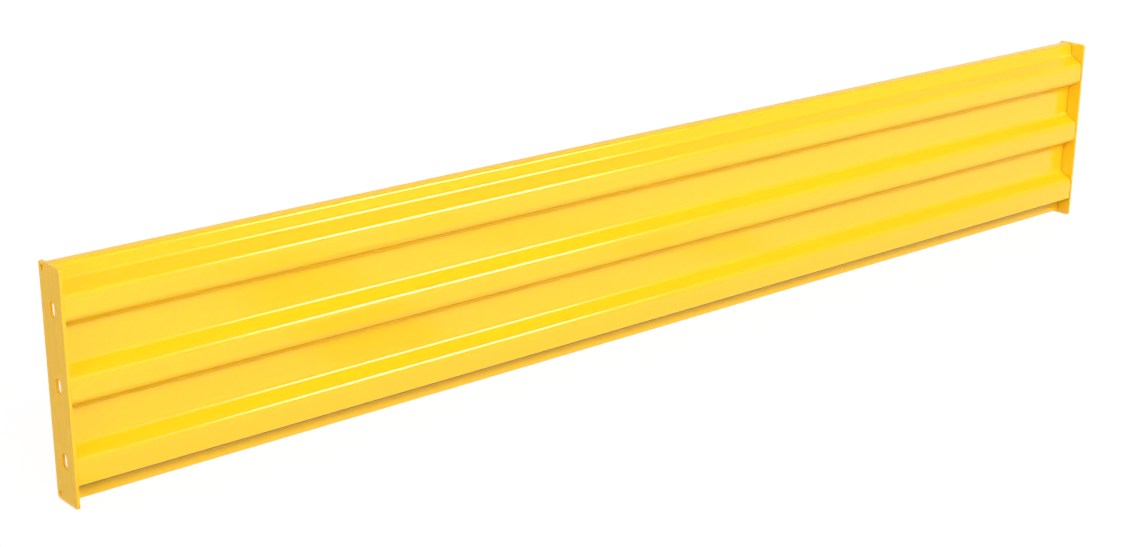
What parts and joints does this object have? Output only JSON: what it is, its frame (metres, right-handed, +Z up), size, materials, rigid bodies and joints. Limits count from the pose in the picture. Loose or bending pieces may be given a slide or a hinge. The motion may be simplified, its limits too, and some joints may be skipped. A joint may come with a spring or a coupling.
{
  "type": "industrial guardrail rail panel",
  "caption": "Ribbed steel guardrail rail, roll-formed and powder-coated yellow, with a slotted flat end plate welded across each end for bolting between posts.",
  "frame": {"origin": "on the floor, under the middle of the rail", "axes": "+X along the rail to the right seen from the front, -Y to the front where the ribs stand out, +Z up"},
  "size_m": [2.426, 0.0636, 0.381],
  "materials": {
    "rail_coat": "glossy yellow powder coat with slight orange peel",
    "end_plate_coat": "glossy yellow powder coat over flat bar",
    "weld_coat": "glossy yellow powder coat over rippled weld beads"
  },
  "bodies": {
    "root": {"rail_sheet": "rail_coat", "left_end_plate": "end_plate_coat", "right_end_plate": "end_plate_coat", "left_weld_top_flange": "weld_coat", "left_weld_crest_1": "weld_coat", "left_weld_crest_2": "weld_coat", "left_weld_crest_3": "weld_coat", "left_weld_valley_1": "weld_coat", "left_weld_valley_2": "weld_coat", "left_weld_low_flange": "weld_coat", "right_weld_top_flange": "weld_coat", "right_weld_crest_1": "weld_coat", "right_weld_crest_2": "weld_coat", "right_weld_crest_3": "weld_coat", "right_weld_valley_1": "weld_coat", "right_weld_valley_2": "weld_coat", "right_weld_low_flange": "weld_coat"}
  },
  "joints": []
}
